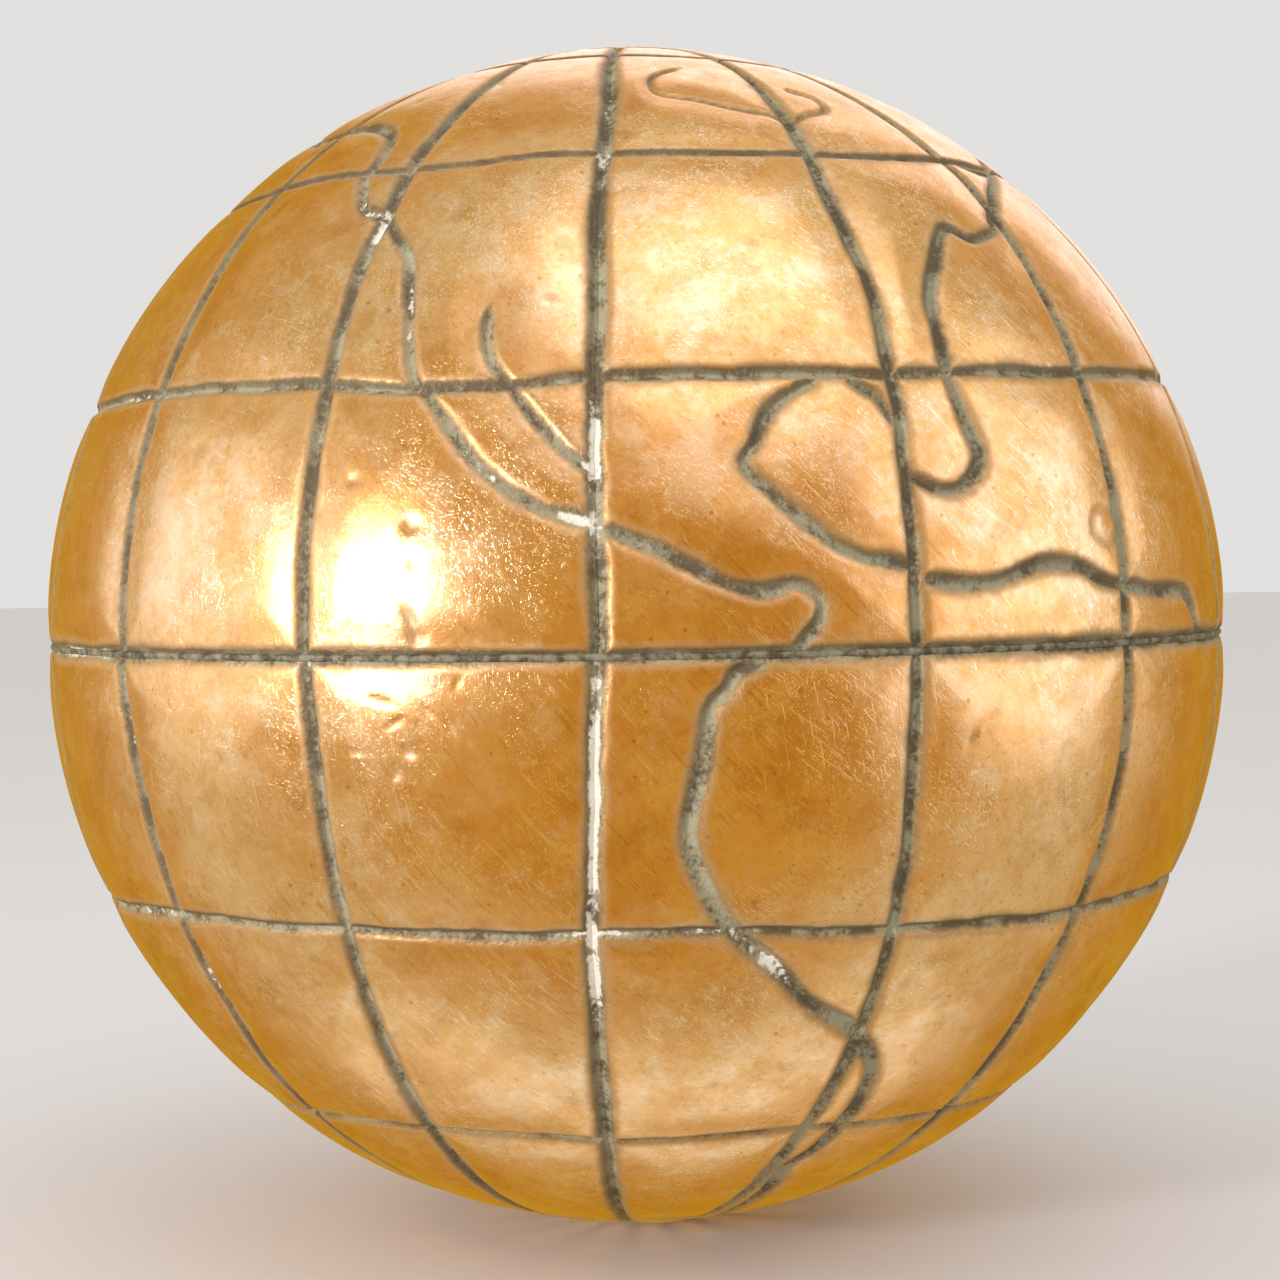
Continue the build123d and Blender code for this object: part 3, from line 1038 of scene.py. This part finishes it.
    def knocks(self, places: Grid) -> Grid:
        """Depth in millimetres of every dent: a smooth bowl, or for a ring a smooth ditch.

        Args:
            places: unit vectors of the grid points.
        Returns:
            The depth at each point.
        """
        total = np.zeros(places.shape[:-1])
        draw = np.random.default_rng(91)
        small = [
            Dent(math.degrees(math.asin(draw.uniform(-1, 1))), draw.uniform(-180, 180),
                 *draw.uniform(0.3, 0.75, 2), draw.uniform(0, 180), draw.uniform(0.015, 0.05))
            for _ in range(SMALL_DENTS)
        ]
        for dent in (*DENTS, *small):
            middle = on_ball(np.array(dent.latitude), np.array(dent.longitude))
            if middle[2] * self.half.value < -0.05:
                continue
            east = on_ball(np.array(0.0), np.array(dent.longitude + 90))
            north = -np.cross(middle, east)
            cos_t, sin_t = math.cos(math.radians(dent.turn)), math.sin(math.radians(dent.turn))
            near = np.flatnonzero((places @ middle > DENT_WINDOW).ravel())
            off = (places.reshape(-1, 3)[near] - middle) * self.radius_mm
            x, y = off @ east, off @ north
            long, wide = (x * cos_t + y * sin_t) / dent.long_mm, (y * cos_t - x * sin_t) / dent.wide_mm
            reach = np.hypot(long, wide)
            bowl = bell(reach - 0.85, 0.2) if dent.ring else bell(reach, 1.0)
            total.ravel()[near] += self.knock_share * dent.depth_mm * bowl
        return total

    def lee(self, depth: Grid, lon: Grid, lat: Grid) -> Grid:
        """How far a line's wall turns down or east, from 0 to 1: the share of painted shade on that
        wall.

        It is the rise of depth going south, plus half its rise going east, for each
        millimetre of surface.

        Args:
            depth: millimetres of depth.
            lon: true longitudes.
            lat: true latitudes.
        Returns:
            The share at each point.
        """
        degree = math.radians(self.radius_mm)
        north = np.gradient(lat, axis=0) * degree
        east = np.gradient(lon, axis=1) * degree * np.cos(np.radians(lat))
        down = -np.gradient(depth, axis=0) / north
        across = np.gradient(depth, axis=1) / np.maximum(east, 1e-3)
        return np.clip((down + 0.55 * across) * 1.6, 0.0, 1.0)

    def drop(self, mm: Grid, v: Grid, depth: Grid, edge: Grid, drawn: Grid) -> Grid:
        """How far the outside lies under the true ball, in millimetres.

        It is the depth of lines and dents, plus a sink beside the lines, a pillow between
        them and two swells. The last three fade to a fifth at the rim of the pole hole.

        Args:
            mm: points of the true ball in millimetres.
            v: nominal latitudes.
            depth: depth of lines and dents.
            edge: millimetres outside the nearest lip.
            drawn: the share that lined gives.
        Returns:
            The drop at each point, the same in the last column as in the first.
        """
        sink = self.sink_mm * bell(np.clip(edge, 0.0, 3.5), self.sink_reach_mm)
        sink += self.pillow_mm * drawn + self.swell_mm * (1 + swell(mm, 19.0, 5))
        sink += self.planish_mm * (1 + swell(mm, 5.0, 6, 22))
        from_hole = np.radians(abs(v[-1]) - np.abs(v)) * self.radius_mm
        drop = depth + sink * (0.2 + 0.8 * ease(0.0, 5.0, from_hole))[:, None]
        drop[:, -1] = drop[:, 0]
        return drop

    def build(self, finish: bpy.types.Material) -> list[bpy.types.Object]:
        """Makes the shell as closed gores that meet at the bottom of four meridians' lines.

        Args:
            finish: the outside's material.
        Returns:
            The pieces.
        """
        sign = self.half.value
        u, v = self.longitudes(), self.latitudes() * sign
        lon, lat = self.bend_columns(u, v), self.bend_rows(u, v)
        places = on_ball(lat, lon)
        depth, edge, drawn = self.lined(u, v, lat)
        for number, coast in enumerate((*FRONT_COASTS.values(), *FAR_COASTS.values())):
            self.chase(coast, 600 + 7 * number, places, lon, lat, depth, edge)
        knocks = self.knocks(places)
        mm = places * self.radius_mm
        outer = mm - places * self.drop(mm, v, depth + knocks, edge, drawn)[..., None]
        outer[0, :, 2] = 0.0
        edge = np.minimum(edge, np.maximum(0.55 - 4.5 * knocks, 0.08))

        inner_radius = self.radius_mm - self.wall_mm
        inner_edge = math.degrees(math.acos(self.hole_mm / inner_radius))
        inner_lat = np.linspace(inner_edge, 0.0, self.inner_rows)[:, None] * sign
        inner_lon = np.broadcast_to(lon[0], (self.inner_rows, len(u)))
        inner = on_ball(np.broadcast_to(inner_lat, inner_lon.shape), inner_lon) * inner_radius
        grid = np.concatenate([outer, inner]) * MM
        # The material reads these: distance to the lips, the walls' share of painted shade, polish and
        # scuffs.
        outside = {
            "edge_mm": np.clip(edge, -1.0, 4.0), "lee": self.lee(depth, lon, lat),
            "whiting": bells(WHITING, lon, lat), "scuff": bells(SCUFFS, lon, lat),
        }
        inside = {"edge_mm": 2.0, "lee": 0.0, "whiting": 0.0, "scuff": 0.0}

        node = f"{self.half.name.lower()}_shell"
        cuts = [int(np.argmin(np.abs(u - g))) for g in self.gores]
        pieces = []
        for number, (low, high) in enumerate(zip(cuts[:-1], cuts[1:]), start=1):
            part = grid[:, low:high + 1]
            rows, columns = part.shape[:2]
            quads = ring_faces(rows, columns, wrap=False)
            first = np.arange(rows) * columns
            last = first + columns - 1
            caps = (first, last[::-1])
            if sign < 0:
                quads, caps = quads[:, ::-1], (first[::-1], last)
            thing = mesh_from(f"{node}_gore_{number}", part.reshape(-1, 3), quads, caps)
            for name, numbers in outside.items():
                under = np.full((self.inner_rows, columns), inside[name])
                add_values(thing, name, np.concatenate([numbers[:, low:high + 1], under]))
            self.map_flat(thing, rows, columns, quads, caps)
            finish_piece(thing, finish, node)
            pieces.append(thing)
        return pieces

    def map_flat(self, thing: bpy.types.Object, rows: int, columns: int, quads: Grid,
                 caps: tuple[Grid, ...]) -> None:
        """Lays the gore flat for baking: across by column, up by row, the inside on top.

        Args:
            thing: the gore.
            rows: rows of its grid, the inside's among them.
            columns: columns of its grid.
            quads: the quads' point numbers.
            caps: the end caps' point numbers.
        """
        outside = np.linspace(0.01, 0.93, rows - self.inner_rows)
        up = np.concatenate([outside, np.linspace(0.945, 0.99, self.inner_rows)])
        across = np.linspace(0.01, 0.99, columns)
        flat = np.stack(np.meshgrid(across, up), axis=-1).reshape(-1, 2)
        corners = np.concatenate([quads.ravel(), *caps])
        layer = thing.data.uv_layers.new(name="OFBake")
        layer.uv.foreach_set("vector", flat[corners].astype(np.float32).ravel())


# ---------------------------------------------------------------- turned and inner pieces


@dataclass
class TurnedPiece:
    """A solid of revolution about the polar axis, from a closed outline. It stands for the CAD
    node of its own name.

    The outline is (distance from the axis, height) in millimetres, running so that its left
    hand is metal, and each point may be repeated close by to keep its corner crisp."""

    name: str
    slot: str
    outline_mm: tuple[tuple[float, float], ...]
    columns: int = 160
    bevel_mm: float = 0.12
    lump_mm: float = 0.0

    def rounded(self) -> Grid:
        """The outline with each corner cut by a small arc, so that edges catch the light.

        Each corner becomes five points on the quadratic curve from bevel_mm before it to
        bevel_mm after it, with the corner as the curve's control point."""
        points = np.array(self.outline_mm, float)
        before, after = np.roll(points, 1, axis=0) - points, np.roll(points, -1, axis=0) - points
        lengths = [np.linalg.norm(way, axis=1, keepdims=True) for way in (before, after)]
        ends = [points + way / size * np.minimum(self.bevel_mm, size * 0.4)
                for way, size in zip((before, after), lengths)]
        t = np.linspace(0, 1, 5)[None, :, None]
        start, end, corner = ends[0][:, None], ends[1][:, None], points[:, None]
        return ((1 - t) ** 2 * start + 2 * t * (1 - t) * corner + t**2 * end).reshape(-1, 2)

    def build(self, finish: bpy.types.Material) -> bpy.types.Object:
        """Spins the outline: each outline point at each angle is (r sin a, -r cos a, height).

        Args:
            finish: the piece's material.
        Returns:
            The piece.
        """
        outline = self.rounded()
        angle = np.linspace(0, 2 * math.pi, self.columns, endpoint=False)
        reach = np.broadcast_to(outline[:, :1], (len(outline), self.columns)).copy()
        if self.lump_mm:
            outer = outline[:, :1] > outline[:, 0].mean()
            turn = np.degrees(angle)
            lumps = unsteady(turn, 0, (1.0, 2.4, 11), (0.6, 7.0, 12))
            lumps = lumps[None, :] * ease(0, 8, turn) * ease(0, 8, 360 - turn)
            reach += np.where(outer, self.lump_mm * lumps, 0)
        height = np.broadcast_to(outline[:, 1:], reach.shape)
        grid = np.stack([reach * np.sin(angle), -reach * np.cos(angle), height], axis=-1) * MM
        quads = ring_faces(len(outline), self.columns, wrap=True)
        thing = mesh_from(self.name, grid.reshape(-1, 3), quads)
        thing.data.shade_smooth()
        finish_piece(thing, finish, self.name)
        return thing


@dataclass
class Fittings:
    """The brass tube and bushes at the poles, the strap inside the seam, and the solder."""

    radius_mm: float
    wall_mm: float
    gap_mm: float
    dressed_mm: float = 0.03

    @staticmethod
    def size(node: str) -> tuple[Vector, Vector]:
        """A CAD node's lowest and highest corners in millimetres."""
        low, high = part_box(node)
        return Vector(low) / MM, Vector(high) / MM

    @property
    def seat_mm(self) -> float:
        """Radius of the ball that seats against the inside of the shells."""
        return self.radius_mm - self.wall_mm - self.gap_mm

    @staticmethod
    def arc(radius: float, start: float, end: float, count: int = 7) -> tuple[tuple[float, float], ...]:
        """Outline points along a ball from one distance from the axis to another."""
        return tuple((r, math.sqrt(radius**2 - r**2)) for r in np.linspace(start, end, count))

    def bush(self, half: Half, bore_mm: float, wall_mm: float,
             finish: bpy.types.Material) -> bpy.types.Object:
        """A pole bush: a barrel dressed flush with the ball, on a shoulder inside the shell.

        Args:
            half: which pole.
            bore_mm: radius of the hole that the tube sits in.
            wall_mm: thickness of the barrel.
            finish: the brass.
        Returns:
            The piece.
        """
        node = f"{half.name.lower()}_pole_bush"
        low, high = self.size(node)
        foot, shoulder, barrel = min(abs(low.z), abs(high.z)), high.x, bore_mm + wall_mm
        points = (
            *self.arc(self.radius_mm - self.dressed_mm, bore_mm, barrel),
            *self.arc(self.seat_mm, barrel, shoulder, 5),
            (shoulder, foot), (bore_mm, foot),
        )
        outline = tuple((r, z * half.value) for r, z in points)
        if half is Half.NORTH:
            outline = outline[::-1]
        return TurnedPiece(node, "fitting_brass", outline, bevel_mm=0.09).build(finish)

    def tube(self, bore_mm: float, wall_mm: float, mouth_mm: float,
             finish: bpy.types.Material) -> bpy.types.Object:
        """The axle tube, its ends dressed to the ball and its mouths broken.

        Args:
            bore_mm: radius of the bore.
            wall_mm: thickness of its wall.
            mouth_mm: how wide the break at each mouth is.
            finish: the brass.
        Returns:
            The piece.
        """
        outer = bore_mm + wall_mm
        end = self.arc(self.radius_mm - self.dressed_mm, outer, bore_mm + mouth_mm, 4)
        foot = end[-1][1] - mouth_mm
        top = (*end, (bore_mm, foot))
        outline = (*top, *((r, -z) for r, z in top[::-1]))
        piece = TurnedPiece("axle_tube", "fitting_brass", outline, 120, 0.06)
        return piece.build(finish)

    def strap(self, thick_mm: float, finish: bpy.types.Material) -> bpy.types.Object:
        """The lap strap behind the seam, its face curved to the inside of the shells.

        Args:
            thick_mm: thickness at its middle.
            finish: its dull copper.
        Returns:
            The piece.
        """
        low, high = self.size("joint_ring")
        heights = np.linspace(low.z, high.z, 9)
        face = tuple((math.sqrt(self.seat_mm**2 - z**2), z) for z in heights)
        inner = self.seat_mm - thick_mm
        outline = (*face, (inner, high.z), (inner, low.z))
        piece = TurnedPiece("joint_ring", "inner_copper", outline, 240, 0.15)
        return piece.build(finish)

    def solder(self, finish: bpy.types.Material) -> bpy.types.Object:
        """The run of solder in the floor of the equator's line: a flat bead, uneven by hand.

        Args:
            finish: its grey metal.
        Returns:
            The piece.
        """
        low, high = self.size("seam_solder")
        outer, inner = high.x - 0.1, self.radius_mm - self.wall_mm
        outline = (
            (inner, -0.04), (outer - 0.22, -0.05), (outer - 0.16, -0.24), (outer - 0.05, -0.15),
            (outer, 0.0), (outer - 0.05, 0.15), (outer - 0.16, 0.24), (outer - 0.22, 0.05),
            (inner, 0.04),
        )
        piece = TurnedPiece("seam_solder", "soft_solder", outline, 1440, 0.02, 0.05)
        return piece.build(finish)


# ---------------------------------------------------------------- the studio


@dataclass(frozen=True)
class Softbox:
    """An area light aimed at the ball, by the direction that it lies in from the centre."""

    name: str
    azimuth: float
    elevation: float
    distance: float
    wide: float
    tall: float
    watts: float
    colour: Colour = (1.0, 0.96, 1.04)
    round: bool = False

    def place(self) -> None:
        """Adds the light. Azimuth 0 is in front of the ball and 90 is on its +X side."""
        lamp = bpy.data.lights.new(self.name, "AREA")
        lamp.shape = "ELLIPSE" if self.round else "RECTANGLE"
        lamp.size, lamp.size_y = self.wide, self.tall
        lamp.energy = self.watts
        lamp.color = self.colour
        way = Vector(on_ball(np.array(self.elevation), np.array(self.azimuth)))
        thing = bpy.data.objects.new(self.name, lamp)
        facing = way.to_track_quat("Z", "Y").to_matrix().to_4x4()
        thing.matrix_world = Matrix.Translation(way * self.distance) @ facing
        bpy.context.scene.collection.objects.link(thing)


@dataclass(frozen=True)
class Cloth:
    """A soft bright patch of the room: its direction, the angles from its middle where it
    starts and where it is full, and its strength."""

    azimuth: float
    elevation: float
    outer: float
    inner: float
    strength: float


@dataclass
class Studio:
    """A pale floor under the ball, soft light round it, and the camera.

    room_ring is how far a direction leans along the Y axis, from 0 to 1, where the room
    starts to turn pale and where it is fully pale."""

    ball_radius: float
    camera_reach: float = 4.59
    camera_elevation: float = 1.7
    camera_roll: float = 0.75
    lens_mm: float = 74.4
    sensor_mm: float = 36.0
    floor_reach: float = 3.0
    look_aside: tuple[float, float] = (0.00336, -0.00367)
    room_dark: Colour = (0.56, 0.325, 0.012)
    room_pale: Colour = (0.68, 0.62, 0.44)
    room_ring: tuple[float, float] = (0.68, 0.10)
    all_round: Colour = (0.76, 0.75, 0.735)
    cloth_tone: Colour = (0.95, 1.0, 1.3)
    cloths: tuple[Cloth, ...] = (
        Cloth(76, 12, 36, 8, 1.7), Cloth(-88, 8, 30, 8, 0.7), Cloth(24, 60, 44, 6, 0.8),
        Cloth(165, 30, 30, 6, 1.6), Cloth(-104, -64, 20, 6, 0.34),
        Cloth(180, -84, 20, 6, 0.34), Cloth(104, -64, 20, 6, 0.34),
    )

    def floor(self) -> None:
        """A large flat disc at the foot of the ball, seen but not mirrored."""
        rings, columns = 40, 96
        angle = np.linspace(0, 2 * math.pi, columns, endpoint=False)
        reach = self.floor_reach * np.maximum(np.linspace(0.0, 1.0, rings) ** 2, 1e-4)[:, None]
        level = np.full((rings, columns), -self.ball_radius)
        grid = np.stack([reach * np.sin(angle), -reach * np.cos(angle), level], axis=-1)
        quads = ring_faces(rings, columns, wrap=True)[: (rings - 1) * columns]
        thing = mesh_from("studio_floor", grid.reshape(-1, 3), quads[:, ::-1])
        thing.data.materials.append(PaleFloor().make())
        thing.visible_glossy = False

    def sky(self) -> None:
        """A dim room for the metal to mirror, brightest in a ring round the ball's sides.

        Brightness eases up from a warm dark ahead and behind to a pale tone where the
        direction is square to the Y axis. Soft round patches stand for hung cloths: each
        eases up as the direction comes within its outer angle and then its inner angle of
        its middle. Only mirrored rays see the room: the rest see one pale grey."""
        world = bpy.data.worlds.new("studio_sky")
        bpy.context.scene.world = world
        world.use_nodes = True
        sky = Tree(world.node_tree)
        way = sky.node("TexCoord").outputs["Generated"]
        lean = sky.math("ABSOLUTE", sky.node("SeparateXYZ", way).outputs[1])
        colour = sky.mix(sky.ramp(lean, *self.room_ring), self.room_dark, self.room_pale)
        for cloth in self.cloths:
            middle = on_ball(np.array(cloth.elevation), np.array(cloth.azimuth))
            facing = sky.node("VectorMath", way, tuple(middle))
            facing.operation = "DOT_PRODUCT"
            outer, inner = (math.cos(math.radians(a)) for a in (cloth.outer, cloth.inner))
            share = sky.ramp(facing.outputs["Value"], outer, inner, 0.0, cloth.strength)
            colour = sky.mix(share, colour, self.cloth_tone, "ADD")
        mirrored = sky.node("LightPath").outputs["Is Glossy Ray"]
        pale, room = (sky.node("Background", c).outputs[0] for c in (self.all_round, colour))
        sky.node("OutputWorld", sky.node("MixShader", mirrored, pale, room).outputs[0])

    def lights(self) -> None:
        """The lamp whose mirror image is the hot spot, and a softbox above."""
        Softbox("lamp_left", -48, 8, 0.62, 0.10, 0.10, 2.3, round=True).place()
        Softbox("overhead", 35, 66, 0.65, 0.50, 0.50, 0.5, (0.92, 0.95, 1.15)).place()

    def camera(self) -> None:
        """The camera, square to the ball but a little above it and rolled.

        It stands camera_reach radii from the centre. Its right, up and back directions are
        the rows of a turn about X by the elevation and then about the view by the roll."""
        tilt, roll = math.radians(self.camera_elevation), math.radians(self.camera_roll)
        turn = Matrix.Rotation(roll, 3, "Z") @ Matrix.Rotation(tilt, 3, "X")
        to_row = Matrix(((1, 0, 0), (0, 0, -1), (0, 1, 0)))
        right, up, back = (to_row @ Vector(row) for row in turn)
        camera = bpy.data.cameras.new("view")
        camera.lens, camera.sensor_width = self.lens_mm, self.sensor_mm
        camera.shift_x, camera.shift_y = self.look_aside
        camera.clip_start = 0.01
        thing = bpy.data.objects.new("view", camera)
        facing = Matrix((right, up, back)).transposed().to_4x4()
        thing.matrix_world = Matrix.Translation(back * self.camera_reach * self.ball_radius) @ facing
        bpy.context.scene.collection.objects.link(thing)
        bpy.context.scene.camera = thing

    def build(self) -> None:
        """Sets up the whole studio."""
        self.floor()
        self.sky()
        self.lights()
        self.camera()


# ---------------------------------------------------------------- the whole object


@dataclass
class Globe:
    """The ball, put together from its pieces at the sizes that the frame gives."""

    wall_mm: float = 1.5
    solder_gap_mm: float = 0.1
    tube_wall_mm: float = 1.0
    tube_mouth_mm: float = 0.3
    bush_wall_mm: float = 1.6
    strap_mm: float = 1.2

    def build(self) -> None:
        """Makes every piece in order and logs it."""
        low, high = Fittings.size("north_shell")
        radius = (high.x - low.x) / 2
        bore = frame["record"]["mounts"][0]["dims"]["r_mm"]
        bush_bore = bore + self.tube_wall_mm + self.solder_gap_mm
        hole = bush_bore + self.bush_wall_mm + self.solder_gap_mm
        copper = WornCopper().make()
        brass = TurnedBrass().make()
        for half in Half:
            HalfShell(half, radius, self.wall_mm, hole).build(copper)
        fittings = Fittings(radius, self.wall_mm, self.solder_gap_mm)
        fittings.tube(bore, self.tube_wall_mm, self.tube_mouth_mm, brass)
        for half in Half:
            fittings.bush(half, bush_bore, self.bush_wall_mm, brass)
        dull = DullMetal("heat_dulled_copper", (0.34, 0.15, 0.07), (0.10, 0.05, 0.03), 0.7, 0.5, 1.5)
        fittings.strap(self.strap_mm, dull.make())
        grey = DullMetal("soft_solder", (0.30, 0.275, 0.18), (0.09, 0.07, 0.04), 0.25, 0.6, 0.8)
        fittings.solder(grey.make())
        Studio(radius * MM).build()


def main() -> None:
    logging.basicConfig(level=logging.INFO, format="%(name)s %(message)s")
    bpy.context.scene.view_settings.view_transform = "Standard"
    Globe().build()


if __name__ == "__main__":
    main()
